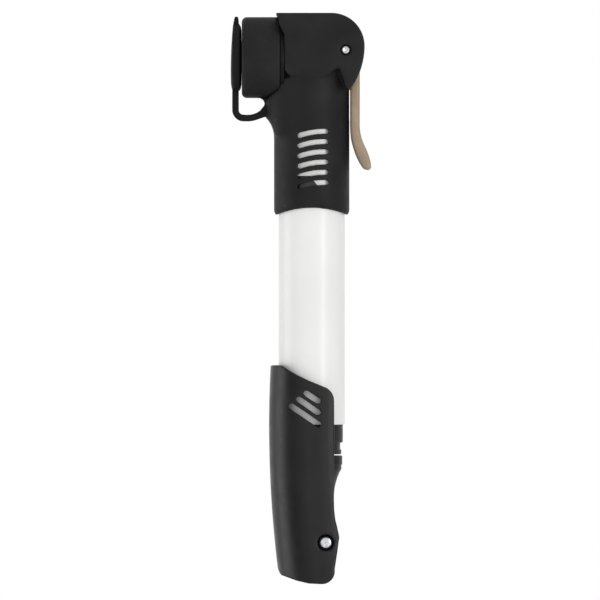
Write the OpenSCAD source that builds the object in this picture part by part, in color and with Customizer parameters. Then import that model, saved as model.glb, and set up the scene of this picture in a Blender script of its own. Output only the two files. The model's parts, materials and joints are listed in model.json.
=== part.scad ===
// Bicycle mini pump: thumb-lock valve head, painted barrel, and a handle shell that folds over the barrel.
// +Z runs up the barrel to the head, -X is the side the tyre valve goes in at, +X is the lever's side.
// The origin lies on the barrel's axis, at the middle of its free stretch.

/* [Barrel] */
// Outside diameter of the barrel tube
barrel_d = 22; // [21.6:0.1:22.2]
// Wall thickness of the barrel tube
barrel_wall = 1.2; // [1:0.1:1.4]
// Height of the barrel's lower end
barrel_bottom = -41.5; // [-42:0.5:-41]
// Height of the barrel's upper end, inside the head
barrel_top = 58; // [57:0.5:58]

/* [Head] */
// Diameter of the neck and its slotted skirt
neck_d = 25; // [24.8:0.1:25.2]
// Height of the skirt's lower tips
skirt_bottom = 28.3; // [27:0.1:30]
// How far the skirt's lower edge arches up between its tips
skirt_arch = 1.9; // [0.5:0.1:3]
// Height of the flat top
head_top = 95.5; // [95:0.1:96]
// Half the distance over the flat cheeks
cheek_y = 13.2; // [13:0.1:13.6]
// Height of the valve chuck's axis
chuck_z = 80.8; // [80.6:0.1:81]
// Diameter of the chuck collar
collar_d = 27; // [26.4:0.1:27]
// Diameter of the gland's hole for the tyre valve
valve_d = 7.8; // [6:0.1:8.2]

/* [Vent slots in the skirt] */
// Number of slots
vent_count = 6; // [3:1:6]
// Distance from slot to slot
vent_pitch = 3.4; // [3:0.1:3.8]
// Height of the top slot's right-hand end
vent_top = 56; // [54:0.1:56.5]
// Width of a slot
vent_w = 1.3; // [1:0.1:1.6]

/* [Lever] */
// Width of the lever between the cheeks
lever_w = 10.8; // [9:0.1:10.9]
// Position of the lever pin across the head
lever_x = 11.3; // [11.2:0.1:11.4]
// Height of the lever pin
lever_z = 83.2; // [83:0.1:83.4]
// Diameter of the lever pin
lever_pin_d = 2.6; // [2.2:0.1:3]
// Cam radius with the lever folded down
cam_r = 4.2; // [4:0.1:4.3]
// Travel that the cam gives the plunger over a quarter turn
cam_lift = 2; // [1:0.1:2]

/* [Dust cap] */
// Diameter of the rubber disc
cap_d = 22; // [20:0.5:22]
// Width of the strap
strap_w = 5; // [4:0.5:6]
// Thickness of the strap
strap_t = 2.2; // [1.8:0.1:2.4]

/* [Piston rod] */
// Diameter of the rod
rod_d = 8; // [7:0.5:8]
// Stroke of the pump
stroke = 78; // [74:1:78]

/* [Handle] */
// Position of the handle's pivot screw
pivot_x = 4.65; // [4.5:0.05:4.8]
// Height of the handle's pivot screw
pivot_z = -80.7; // [-81:0.1:-80.5]
// Diameter of the pivot screw's shank
pivot_d = 3; // [2.6:0.1:3]
// Outside radius of the shell's round back
shell_r = 13.9; // [13.7:0.1:14]
// Angle at which the shell's back leans in, in degrees
shell_lean = 4.3; // [3:0.1:4.5]
// Height below which it leans
lean_z = -52; // [-56:1:-50]

/* [Hidden] */
$fn = 96;

slide_gap = 0.05;       // radial clearance of sliding and turning fits
free_gap = 0.3;         // clearance between parts that only pass each other
barrel_r = barrel_d / 2;
bore_r = barrel_r - barrel_wall;
neck_r = neck_d / 2;
collar_r = collar_d / 2;
cap_r = cap_d / 2;
valve_r = valve_d / 2;
rod_r = rod_d / 2;
pin_r = lever_pin_d / 2;
pivot_r = pivot_d / 2;

// the valve chuck, from its mouth inwards
collar_face_x = -23.3;
collar_back_x = -10.6;
collar_wall = 2.2;      // thickness of the collar's front wall
mouth_r = 4.6;          // hole in that wall
boss_r = 10.3;          // boss that the collar turns on
boss_front_x = -20;
chamber_r = 7.6;        // chamber inside the boss
chamber_end_x = -0.8;
washer_t = 0.8;
gland_front_x = collar_face_x + collar_wall + washer_t;
gland_back_x = -12.2;
insert_back_x = -8.6;
stem_r = 4.5;           // plunger's stem, which the cam pushes

// the rubber ring between collar and head
ring_r = 12.9;
ring_back_x = -9.1;
web_bottom_z = 64.6;

// the outlet valve under the chuck
check_floor_z = 64.2;   // top of the seat's plug
check_roof_z = 70.4;
check_r = 3.4;
duct_r = 1.2;
duct_x = -8.6;

// the lower end of the barrel
groove_top_z = -47.5;
groove_bottom_z = -49.8;
end_z = -51.4;
end_r = 10.4;
spigot_top_z = -34;

// the bumper on the spigot, and the piston at the top of its stroke
bumper_t = 2.8;
bumper_gap = 0.7;       // left between bumper and piston at the end of the stroke
piston_bottom_z = spigot_top_z + bumper_t + bumper_gap + stroke;
piston_top_z = piston_bottom_z + 7;

// the knuckle on the rod
flange_r = 10.2;
flange_top_z = -51.8;
flange_bottom_z = -54.7;
knuckle_y = 8.2;
lug_r = 4.15;

// the handle shell
channel_r = barrel_r + 0.35;
shell_edge_x = 7.5;

// Points of an arc about (x, z), from one angle to another
function arc(x, z, r, from, to, steps = 12) =
    [for (i = [0:steps]) let (a = from + (to - from) * i / steps) [x + r * cos(a), z + r * sin(a)]];

// An outline drawn in X and Z, made solid from y0 to y1
module slab(y0, y1) {
    translate([0, y1, 0]) rotate([90, 0, 0]) linear_extrude(height = y1 - y0) children();
}

module rod_x(r, x0, x1, z = chuck_z) {
    translate([x0, 0, z]) rotate([0, 90, 0]) cylinder(r = r, h = x1 - x0);
}

module rod_y(r, y0, y1, x, z) {
    translate([x, y1, z]) rotate([90, 0, 0]) cylinder(r = r, h = y1 - y0);
}

module rod_z(r, z0, z1, x = 0) {
    translate([x, 0, z0]) cylinder(r = r, h = z1 - z0);
}

module ring_x(r_out, r_in, x0, x1) {
    difference() {
        rod_x(r_out, x0, x1);
        rod_x(r_in, x0 - 1, x1 + 1);
    }
}

module ring_z(r_out, r_in, z0, z1) {
    difference() {
        rod_z(r_out, z0, z1);
        rod_z(r_in, z0 - 1, z1 + 1);
    }
}

// An O-ring about the Z axis, whose outside touches radius r_out
module o_ring(r_out, cord_r) {
    rotate_extrude() translate([r_out - cord_r, 0]) circle(r = cord_r, $fn = 32);
}

// ---- head ----

// Side outline of the cheeks: flat top, round nose, and an ear that runs down beside the lever
module cheek_outline() {
    left_x = -9.1;
    nose_r = 11;
    nose_x = 17.6 - nose_r;
    nose_z = head_top - nose_r;
    flank_r = 24;
    ear_tip = [12.2, 69.8];
    polygon(concat(
        [[left_x, head_top]],
        arc(nose_x, nose_z, nose_r, 90, 0),
        arc(17.6 - flank_r, nose_z, flank_r, 0, -36.5),
        [ear_tip, [10.4, 73.2], [9.4, 75.8]],
        arc(0.7, 84.1, 10.4, -38, -90),
        [[-2.6, 73.9], [-4.8, 74.2]],
        arc(left_x + 3.6, 77.9, 3.6, 250, 180, 6)));
}

// Slots that rise and flatten towards the right, each with round ends
module vent_slots(y0, y1) {
    slot_r = 26;
    left_a = 109;
    right_a = 89;
    half_w = vent_w / 2;
    for (i = [0:vent_count - 1]) translate([4.4, 0, vent_top - i * vent_pitch - slot_r])
        slab(y0, y1) polygon(concat(
            arc(0, 0, slot_r + half_w, left_a, right_a, 8),
            arc(slot_r * cos(right_a), slot_r * sin(right_a), half_w, right_a - 30, right_a - 150, 4),
            arc(0, 0, slot_r - half_w, right_a, left_a, 8),
            arc(slot_r * cos(left_a), slot_r * sin(left_a), half_w, left_a + 150, left_a + 30, 4)));
}

// Flare of the neck on the valve side, out to the strap's root and round the collar's lower edge
module throat() {
    flare_r = 15.5;
    flare_z = 56;
    throat_r = 11.5;
    difference() {
        rod_z(throat_r, flare_z, 74, throat_r + strap_root.x);
        rod_y(flare_r, -20, 20, -neck_r - flare_r, flare_z);
    }
}

// Bed of the cap ring and of the strap's root, sunk into the throat
module ring_bed() {
    rod_x(ring_r, collar_back_x, ring_back_x);
    translate([-20, -strap_w / 2, web_bottom_z]) cube([20 + ring_back_x, strap_w, 5]);
}

// Lip that roofs the gap between the head and the collar, as a beak on the cheeks' upper corner
module roof_lip() {
    difference() {
        slab(-cheek_y, cheek_y) polygon([[-9.2, 91.4], [-9.9, 92.6], [-12, head_top], [-9, head_top], [-9, 91.4]]);
        rod_x(collar_r + free_gap, -15, ring_back_x);
    }
}

module head_body() {
    arch_x = neck_r - 0.6;      // the arch ends a little inside the skirt's edge
    arch_r = (arch_x * arch_x + skirt_arch * skirt_arch) / (2 * skirt_arch);
    slot_y = lever_w / 2 + free_gap;
    slot_r = cam_r + cam_lift + 0.4;
    color("#2a2a2c") difference() {
        union() {
            difference() {
                union() {
                    rod_z(neck_r, skirt_bottom, 78);
                    throat();
                }
                rod_x(collar_r + free_gap, collar_face_x, collar_back_x + 0.1);
                ring_bed();
            }
            slab(-cheek_y, cheek_y) cheek_outline();
            rod_x(boss_r, boss_front_x, 0);
            roof_lip();
        }
        rod_z(barrel_r, skirt_bottom - 1, barrel_top + 1.2);
        rod_y(arch_r, -20, 20, 0, skirt_bottom + skirt_arch - arch_r);
        vent_slots(-20, -barrel_r + 3);
        vent_slots(barrel_r - 3, 20);
        // outlet valve chamber, with the seat's socket below and the duct to the chuck
        rod_z(6, barrel_top, check_floor_z - 2);
        rod_z(check_r, barrel_top, check_roof_z);
        rod_x(duct_r, duct_x, 0, check_roof_z - 2);
        rod_z(duct_r, check_roof_z - 2 - duct_r, chuck_z, duct_x);
        // chuck chamber and plunger bore
        rod_x(chamber_r, boss_front_x - 1, chamber_end_x);
        rod_x(stem_r + slide_gap, chamber_end_x - 1, lever_x);
        // slot between the cheeks, in which the lever turns
        rod_y(slot_r, -slot_y, slot_y, lever_x, lever_z);
        translate([lever_x, -slot_y, lever_z]) cube([10, 2 * slot_y, slot_r]);
        translate([neck_r, -slot_y, 60]) cube([10, 2 * slot_y, lever_z - 60]);
        rod_y(pin_r, -20, 20, lever_x, lever_z);
        for (y = [-cheek_y - 1, cheek_y - 1.2]) rod_y(1.85, y, y + 2.2, lever_x, lever_z);
    }
}

module chuck_collar() {
    rim = 1.6;
    color("#2b2b2d") difference() {
        union() {
            rod_x(collar_r, collar_face_x + rim, collar_back_x);
            translate([collar_face_x, 0, chuck_z]) rotate([0, 90, 0])
                cylinder(r1 = collar_r - rim, r2 = collar_r, h = rim);
        }
        rod_x(mouth_r, collar_face_x - 1, collar_back_x + 1);
        rod_x(boss_r + slide_gap, collar_face_x + collar_wall, collar_back_x + 1);
    }
}

module gland_washer() {
    color("#c8c8c4") ring_x(9.6, mouth_r, gland_front_x - washer_t + 0.02, gland_front_x);
}

module valve_gland() {
    color("#3a3a3a") difference() {
        union() {
            rod_x(chamber_r - 0.1, boss_front_x, gland_back_x);
            rod_x(9.4, gland_front_x, boss_front_x);
        }
        rod_x(valve_r, gland_front_x - 1, gland_back_x + 1);
    }
}

// Cupped insert with a middle pin that opens the valve's core
module valve_insert() {
    pin_tip_x = gland_back_x + 0.4;     // just behind the gland, clear of the valve's stem
    color("#d9d4c4") {
        difference() {
            rod_x(chamber_r - 0.1, gland_back_x, insert_back_x);
            rod_x(3, gland_back_x - 1, insert_back_x - 1.4);
            for (a = [0:90:270])
                translate([0, 2.2 * cos(a), 2.2 * sin(a)]) rod_x(0.6, gland_back_x - 1, insert_back_x + 1);
            translate([insert_back_x, 0, chuck_z]) rotate([0, 90, 0]) cylinder(r = 2, h = 2);
        }
        rod_x(0.9, pin_tip_x, insert_back_x - 1.4);
    }
}

module plunger() {
    head_front_x = -5.8;
    stem_end_x = lever_x - cam_r - 0.1;
    groove_x = -4.2;
    color("#e4e0d6") difference() {
        union() {
            rod_x(chamber_r - 0.3, head_front_x, chamber_end_x - 0.3);
            rod_x(stem_r, chamber_end_x - 0.4, stem_end_x);
        }
        ring_x(chamber_r, chamber_r - 1.6, groove_x - 0.85, groove_x + 0.85);
    }
}

module plunger_seal() {
    color("#1c1c1c") translate([-4.2, 0, chuck_z]) rotate([0, 90, 0]) o_ring(chamber_r - slide_gap, 0.76);
}

// Involute cam: its reach towards a flat follower grows evenly with the turn
function cam_point(a) =
    let (k = cam_lift / (PI / 2), reach = cam_r + k * (180 - a) * PI / 180)
    [lever_x + reach * cos(a) + k * sin(a), lever_z + reach * sin(a) - k * cos(a)];

module lever_outline() {
    polygon(concat(
        [for (a = [180:-7.5:90]) cam_point(a)],
        arc(lever_x + 1.2, lever_z + 2.6, 3.5, 80, 0, 8),
        [[16, 57.5], [16.6, 54], [17.6, 51.5], [18.7, 49], [19.5, 46.5], [19.8, 45.1]],
        arc(18.7, 44.4, 1.1, 20, -110, 5),
        [[17, 44], [15.9, 45.7], [14.5, 48.7], [13.4, 52.3], [12.9, 55.1], [12.8, 58], [12.8, 79.3]],
        arc(lever_x, lever_z, cam_r, 270, 180)));
}

module lever() {
    color("#a5968a") difference() {
        slab(-lever_w / 2, lever_w / 2) lever_outline();
        rod_y(pin_r + slide_gap, -10, 10, lever_x, lever_z);
    }
}

module lever_pin() {
    color("#c9c9cb") rod_y(pin_r, -cheek_y + 0.5, cheek_y - 0.5, lever_x, lever_z);
}

// ---- dust cap ----

strap_x = -24.2;        // inner face of the strap's upright run
strap_top_z = 69.6;
strap_turn_z = 63.6;
strap_root = [-15.6, 65.4];

module dust_cap() {
    disc_x = collar_face_x - free_gap;
    color("#1e1e20") {
        difference() {
            // slightly domed disc
            intersection() {
                rod_x(cap_r, -27, disc_x);
                translate([20.5, 0, chuck_z - 3]) sphere(r = 47.5, $fn = 180);
            }
            // the top leans clear of the collar
            translate([collar_face_x, -20, 90]) rotate([0, -11, 0])
                translate([-2, 0, 0]) cube([4, 40, 10]);
        }
        rod_x(mouth_r - free_gap, disc_x - 0.5, disc_x + 1.5);
        translate([-25.6, -2.5, 88]) cube([1.2, 5, 6.5]);
        translate([strap_x - strap_t, -strap_w / 2, strap_top_z]) cube([strap_t, strap_w, 4]);
    }
}

module cap_strap() {
    turn_r = 3.6;
    color("#202022") slab(-strap_w / 2, strap_w / 2) {
        translate([strap_x - strap_t, strap_turn_z]) square([strap_t, strap_top_z - strap_turn_z]);
        intersection() {
            difference() {
                translate([strap_x + turn_r - strap_t, strap_turn_z]) circle(r = turn_r);
                translate([strap_x + turn_r - strap_t, strap_turn_z]) circle(r = turn_r - strap_t);
            }
            translate([strap_x - 3, strap_turn_z - 5]) square([3 + turn_r - strap_t, 5]);
        }
        polygon([[-22.8, 60], [-21.4, 59.8], [-19.6, 60.2], [-17.6, 61.2], [strap_root.x, 63],
                 [strap_root.x, strap_root.y], [-17, 64], [-18.8, 62.9], [-20.6, 62.2], [-22.8, 62.2]]);
    }
}

// Rubber ring in the gap behind the collar, with a web under the collar that carries the strap's root
module cap_ring() {
    web_top_z = chuck_z - collar_r - free_gap;
    color("#222224") difference() {
        union() {
            ring_x(ring_r, boss_r, collar_back_x + 0.2, ring_back_x);
            translate([strap_root.x, -strap_w / 2, web_bottom_z])
                cube([ring_back_x - strap_root.x, strap_w, web_top_z - web_bottom_z]);
            translate([collar_back_x + 0.2, -strap_w / 2, web_bottom_z])
                cube([ring_back_x - collar_back_x - 0.2, strap_w, 5]);
        }
        rod_x(boss_r, -30, 0);
    }
}

// ---- outlet valve ----

module outlet_seat() {
    color("#b08d4a") difference() {
        rod_z(6, barrel_top + 1.2, check_floor_z - 2);
        rod_z(1.2, barrel_top, check_floor_z);
    }
}

module check_poppet() {
    color("#d8d2c0") {
        rod_z(2.6, check_floor_z - 1.95, check_floor_z - 0.6);
        rod_z(1.2, check_floor_z - 0.8, check_floor_z + 1.6);
    }
}

// Spring that sits over the poppet's stem, as a thin sleeve of its coil's size
module check_spring() {
    color("#b9bcc0") ring_z(2.2, 1.5, check_floor_z - 0.55, check_roof_z);
}

module head_gasket() {
    color("#1b1b1b") ring_z(barrel_r, 7.6, barrel_top, barrel_top + 1.2);
}

// ---- barrel ----

module barrel() {
    color("#f2f2f2") ring_z(barrel_r, bore_r, barrel_bottom, barrel_top);
}

module end_collar() {
    color("#29292b") difference() {
        union() {
            rod_z(end_r, groove_top_z, barrel_bottom);
            rod_z(end_r - 0.9, groove_bottom_z, groove_top_z);
            rod_z(end_r - 0.5, end_z, groove_bottom_z);
            rod_z(bore_r, barrel_bottom, spigot_top_z);
        }
        rod_z(rod_r + 1.8, end_z - 1, spigot_top_z + 1);
    }
}

module rod_bush() {
    color("#dcd8cc") ring_z(rod_r + 1.8, rod_r + slide_gap, groove_bottom_z, spigot_top_z);
}

module rod_wiper() {
    color("#555555") ring_z(rod_r + 1.8, rod_r + slide_gap, end_z, groove_bottom_z);
}

module bumper() {
    color("#1d1d1d") ring_z(bore_r - 0.2, rod_r + free_gap, spigot_top_z, spigot_top_z + bumper_t);
}

// ---- piston and rod ----

module piston() {
    groove_z = (piston_bottom_z + piston_top_z) / 2;
    color("#d0ccc0") difference() {
        ring_z(bore_r - free_gap, rod_r - 1, piston_bottom_z, piston_top_z);
        ring_z(bore_r, bore_r - 2, groove_z - 1.05, groove_z + 1.05);
        rod_z(rod_r, piston_bottom_z - 1, piston_bottom_z + 4);
    }
}

module piston_seal() {
    color("#1a1a1a") translate([0, 0, (piston_bottom_z + piston_top_z) / 2]) o_ring(bore_r - slide_gap, 0.95);
}

module piston_screw() {
    color("#9ea0a3") {
        rod_z(rod_r - 1, piston_bottom_z + 4, piston_top_z);
        rod_z(rod_r - 2, piston_bottom_z - 6, piston_bottom_z + 4);
        difference() {
            rod_z(5, piston_top_z, piston_top_z + 2);
            for (a = [0, 90]) translate([0, 0, piston_top_z + 1.5]) rotate([0, 0, a])
                cube([5, 0.9, 2], center = true);
        }
    }
}

module piston_rod() {
    color("#c4c6c9") difference() {
        rod_z(rod_r, -67, piston_bottom_z + 4);
        rod_z(rod_r - 2, piston_bottom_z - 6, piston_bottom_z + 5);
        rod_y(1.25, -10, 10, 0, -61);
    }
}

module rod_knuckle() {
    waist_r = 7.2;
    flare_r = 13;
    color("#2c2c2e") difference() {
        union() {
            rod_z(flange_r, flange_bottom_z, flange_top_z);
            // waist with a hollow flare under the flange
            difference() {
                rod_z(flange_r - 0.3, -66, flange_bottom_z);
                rotate_extrude() translate([waist_r + flare_r, -66]) circle(r = flare_r);
            }
            rod_z(waist_r, -70, flange_bottom_z);
            translate([-5, -knuckle_y, pivot_z]) cube([12, 2 * knuckle_y, 16]);
            rod_y(lug_r, -knuckle_y, knuckle_y, pivot_x, pivot_z);
            translate([-1, -knuckle_y, pivot_z - lug_r]) cube([pivot_x + 1, 2 * knuckle_y, lug_r]);
        }
        rod_z(rod_r, -67, flange_top_z + 1);
        rod_y(1.25, -10, 10, 0, -61);
        rod_y(pivot_r + slide_gap, -10, 10, pivot_x, pivot_z);
    }
}

module rod_pin() {
    color("#a9abae") rod_y(1.25, -6.6, 6.6, 0, -61);
}

// ---- handle ----

// Cross-section of the shell: round back, and flatter sides that run on to the open edge
module shell_section(r) {
    side_r = r + 10.1;
    side_a = asin(14 / side_r);
    polygon(concat(
        arc(0, 0, r, 90, 270, 40),
        arc(0, side_r - r, side_r, -90, -90 + side_a, 6),
        arc(0, r - side_r, side_r, 90 - side_a, 90, 6)));
}

// The shell's outside: straight beside the barrel, with a back that leans in below it
module shell_body() {
    leaning_r = shell_r + 0.3;
    intersection() {
        translate([0, 0, -100]) linear_extrude(height = 90) shell_section(shell_r);
        translate([-shell_r, 0, lean_z]) rotate([0, -shell_lean, 0]) translate([leaning_r, 0, -60])
            linear_extrude(height = 100) shell_section(leaning_r);
        slab(-20, 20) shell_outline();
    }
}

// Side outline of the shell
module shell_outline() {
    polygon(concat(
        [[-16, -21.7], [-10, -21.7], [-8.3, -22.6]],
        arc(2.6, -33.2, 4.9, 64, 0, 6),
        [[shell_edge_x, -70], [7.9, -73.3], [8.6, -76]],
        arc(pivot_x, -79, 4.5, 22, -14, 4),
        [[8.5, -84], [7.9, -88]],
        arc(3.6, -90.4, 4.3, 10, -97, 8),
        [[-1, -94.3], [-5, -93.4], [-9, -92]],
        arc(-8.4, -89.7, 2.6, 230, 190, 4),
        [[-16, -84]]));
}

module grip_slot(left, right) {
    slot_r = 0.8;
    d = right - left;
    a = atan2(d.y, d.x);
    slab(-20, 20) polygon(concat(
        arc(left.x, left.y, slot_r, a + 90, a + 270, 6),
        arc(right.x, right.y, slot_r, a - 90, a + 90, 6)));
}

module channel(r, x, z0, z1) {
    rod_z(r, z0, z1, x);
    translate([x, -r, z0]) cube([20, 2 * r, z1 - z0]);
}

module handle_shell() {
    head_y = 11.4;      // floor of the screw head's recess
    color("#343436") difference() {
        union() {
            difference() {
                shell_body();
                // channel that the barrel and the end collar lie in, open towards +X
                channel(channel_r, 0, -61, 0);
                // lower channel for the knuckle, further from the shell's leaning back
                channel(channel_r - 0.35, 2, -90.6, -60);
            }
            // bosses that reach in to the knuckle
            for (y = [-head_y - 0.4, knuckle_y + free_gap])
                rod_y(lug_r, y, y + head_y + 0.1 - knuckle_y, pivot_x, pivot_z);
        }
        rod_y(pivot_r, -20, 20, pivot_x, pivot_z);
        rod_y(2.75, -20, -head_y, pivot_x, pivot_z);
        rod_y(3.2, head_y, 20, pivot_x, pivot_z, $fn = 6);
        grip_slot([-6.8, -35.3], [2.2, -41.3]);
        grip_slot([-4.3, -33], [2.1, -37.4]);
        grip_slot([-1.8, -31], [2.1, -33.6]);
    }
}

module pivot_screw() {
    color("#c6c6c8") difference() {
        union() {
            rod_y(pivot_r, -11.4, 13, pivot_x, pivot_z);
            rod_y(2.33, -12.9, -11.4, pivot_x, pivot_z);
        }
        for (a = [20, 110]) translate([pivot_x, -13, pivot_z]) rotate([0, a, 0])
            cube([2.8, 1.6, 0.6], center = true);
    }
}

module pivot_nut() {
    color("#b4b6b9") difference() {
        rod_y(3.1, 11.4, 13.2, pivot_x, pivot_z, $fn = 6);
        rod_y(pivot_r, 10, 15, pivot_x, pivot_z);
    }
}

head_body();
chuck_collar();
gland_washer();
valve_gland();
valve_insert();
plunger();
plunger_seal();
lever();
lever_pin();
dust_cap();
cap_strap();
cap_ring();
outlet_seat();
check_poppet();
check_spring();
head_gasket();
barrel();
end_collar();
rod_bush();
rod_wiper();
bumper();
piston();
piston_seal();
piston_screw();
piston_rod();
rod_knuckle();
rod_pin();
handle_shell();
pivot_screw();
pivot_nut();
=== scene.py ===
"""Looks of a bicycle mini pump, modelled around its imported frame.

The file is laid out as an add-on and is run as a script. Outlines and profiles are written in
millimetres in the pump's own frame (+Z up the barrel, -X the valve's side) and become metres as they
are made. Places come from the boxes of the frame's nodes and from its joints.
"""

import json
import math
from contextlib import contextmanager

import bpy
from bpy.props import FloatProperty, FloatVectorProperty, IntProperty, PointerProperty
from bpy.types import Operator, Panel, PropertyGroup
from mathutils import Matrix, Vector


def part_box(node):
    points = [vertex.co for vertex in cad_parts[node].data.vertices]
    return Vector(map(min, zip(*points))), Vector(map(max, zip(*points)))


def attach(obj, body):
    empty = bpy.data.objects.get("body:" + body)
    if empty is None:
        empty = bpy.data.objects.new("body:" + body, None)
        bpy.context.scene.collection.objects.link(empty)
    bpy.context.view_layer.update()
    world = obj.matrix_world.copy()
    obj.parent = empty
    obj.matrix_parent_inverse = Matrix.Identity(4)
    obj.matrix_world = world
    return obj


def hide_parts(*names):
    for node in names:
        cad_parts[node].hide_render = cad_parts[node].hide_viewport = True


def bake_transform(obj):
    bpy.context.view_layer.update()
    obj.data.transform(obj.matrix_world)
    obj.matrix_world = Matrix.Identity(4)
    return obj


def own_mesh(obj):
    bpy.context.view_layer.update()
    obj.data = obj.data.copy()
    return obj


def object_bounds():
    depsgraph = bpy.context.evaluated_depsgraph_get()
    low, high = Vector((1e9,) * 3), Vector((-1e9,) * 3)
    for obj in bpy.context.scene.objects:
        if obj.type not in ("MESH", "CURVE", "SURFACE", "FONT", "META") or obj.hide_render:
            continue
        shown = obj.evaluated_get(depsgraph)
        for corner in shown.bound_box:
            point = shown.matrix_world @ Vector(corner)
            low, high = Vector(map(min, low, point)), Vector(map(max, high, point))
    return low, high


bl_info = {
    "name": "Mini Pump",
    "version": (1, 0, 0),
    "blender": (4, 5, 0),
    "location": "3D View > Sidebar > Pump",
    "description": "Models and finishes a folding-handle bicycle mini pump",
    "category": "Object",
}

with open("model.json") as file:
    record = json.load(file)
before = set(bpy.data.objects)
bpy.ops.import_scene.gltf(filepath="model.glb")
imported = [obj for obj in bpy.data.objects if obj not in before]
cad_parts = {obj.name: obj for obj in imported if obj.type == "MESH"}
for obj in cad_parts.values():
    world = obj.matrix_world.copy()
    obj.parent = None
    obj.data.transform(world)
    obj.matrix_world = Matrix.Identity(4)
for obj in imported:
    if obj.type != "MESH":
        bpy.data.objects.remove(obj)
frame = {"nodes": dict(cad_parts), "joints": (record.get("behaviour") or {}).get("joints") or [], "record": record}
CAD_BOX = [list(corner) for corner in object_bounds()]

MM = 0.001
WELD = 1e-6             # distance in metres under which points are one point
TURN_STEPS = 96         # facets round a turned piece
FINE_STEPS = 128        # facets round a turned piece that is seen close to
JOINTS = {joint["name"]: joint for joint in frame["joints"]}


def box_mm(node):
    """Lowest and highest corner of a frame node, in millimetres."""
    low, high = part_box(node)
    return low / MM, high / MM


def joint_mm(name):
    """Place of a joint's axis, in millimetres."""
    return Vector(JOINTS[name]["pos_m"]) / MM


HEAD_LOW, HEAD_HIGH = box_mm("head_body")
COLLAR_LOW, COLLAR_HIGH = box_mm("chuck_collar")
CAP_LOW, CAP_HIGH = box_mm("dust_cap")
BARREL_LOW, BARREL_HIGH = box_mm("barrel")
END_LOW, END_HIGH = box_mm("end_collar")
KNUCKLE_HIGH = box_mm("rod_knuckle")[1]
SHELL_LOW, SHELL_HIGH = box_mm("handle_shell")
SCREW_LOW, SCREW_HIGH = box_mm("pivot_screw")
NUT_LOW, NUT_HIGH = box_mm("pivot_nut")
PIN_HIGH = box_mm("lever_pin")[1]
SPRING_LOW, SPRING_HIGH = box_mm("check_spring")
LEVER_PIN = joint_mm("lever_turn")
PIVOT = joint_mm("handle_fold")
CHUCK_Z = (COLLAR_LOW.z + COLLAR_HIGH.z) / 2
CHUCK = Vector((0, 0, CHUCK_Z))
COLLAR_R = COLLAR_HIGH.y
BARREL_R = BARREL_HIGH.x


# ---- colours and nodes ----

def hex_colour(text):
    """An sRGB hex value as linear red, green and blue."""
    def linear(part):
        return part / 12.92 if part <= 0.04045 else ((part + 0.055) / 1.055) ** 2.4
    return tuple(linear(int(text[i:i + 2], 16) / 255) for i in (1, 3, 5))


def rgba(colour):
    """A colour with full alpha."""
    return (*colour, 1.0)


def shade(colour, factor, lift=0.0):
    """A colour made lighter or darker, with full alpha."""
    return rgba([min(1.0, part * factor + lift) for part in colour])


def add_node(tree, kind, inputs=None, **settings):
    """Adds a shader node, gives it its settings, and sets or links its inputs."""
    made = tree.nodes.new("ShaderNode" + kind)
    for name, value in settings.items():
        setattr(made, name, value)
    for name, value in (inputs or {}).items():
        if isinstance(value, bpy.types.NodeSocket):
            tree.links.new(value, made.inputs[name])
        else:
            made.inputs[name].default_value = value
    return made


def per_mm(size):
    """Texture scale at which one feature is this many millimetres across."""
    return 1 / (size * MM)


def new_material(name, **surface):
    """A material with one shader, whose plain sockets are set from the keywords."""
    material = bpy.data.materials.new(name)
    material.use_nodes = True
    tree = material.node_tree
    tree.nodes.clear()
    sockets = {key.replace("_", " "): value for key, value in surface.items()}
    shader = add_node(tree, "BsdfPrincipled", sockets)
    add_node(tree, "OutputMaterial", {"Surface": shader.outputs[0]})
    place = add_node(tree, "TexCoord").outputs["Object"]
    return material, shader, place


def spread(value, low, high, out_low=0.0, out_high=1.0):
    """Stretches a value's range from low..high to out_low..out_high."""
    return add_node(value.id_data, "MapRange", {
        "Value": value, "From Min": low, "From Max": high, "To Min": out_low, "To Max": out_high,
    }).outputs[0]


def mix_colours(factor, first, second):
    """Mixes two colours, each a colour or a socket."""
    return add_node(factor.id_data, "Mix", {0: factor, 6: first, 7: second},
                    data_type="RGBA").outputs[2]


def arithmetic(operation, first, second):
    """One sum of a socket and a second value."""
    return add_node(first.id_data, "Math", {0: first, 1: second}, operation=operation).outputs[0]


def parts_of(vector):
    """The X, Y and Z of a vector socket."""
    return add_node(vector.id_data, "SeparateXYZ", {0: vector}).outputs


def noise(place, size, detail=2.0, roughness=0.5):
    """Cloudy noise whose patches are about this many millimetres across."""
    return add_node(place.id_data, "TexNoise", {
        "Vector": place, "Scale": per_mm(size), "Detail": detail, "Roughness": roughness,
    }).outputs[0]


def patches(place, size, detail, out_low=0.0, out_high=1.0, low=0.35, high=0.7):
    """Soft patches about this many millimetres across, which run from out_low to out_high."""
    return spread(noise(place, size, detail), low, high, out_low, out_high)


def colour_in(shader, tone, sheen=None):
    """Links a material's colour, and its roughness where that varies."""
    links = shader.id_data.links
    links.new(tone, shader.inputs["Base Color"])
    if sheen is not None:
        links.new(sheen, shader.inputs["Roughness"])


def dent(shader, height, depth, strength=1.0, after=None):
    """Bump of this depth in millimetres, put on the shader, or on top of an earlier bump."""
    inputs = {"Height": height, "Distance": depth * MM, "Strength": strength}
    if after is not None:
        inputs["Normal"] = after
    bump = add_node(shader.id_data, "Bump", inputs).outputs[0]
    shader.id_data.links.new(bump, shader.inputs["Normal"])
    return bump


# ---- materials ----

PLASTIC_IOR = 1.5


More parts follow.
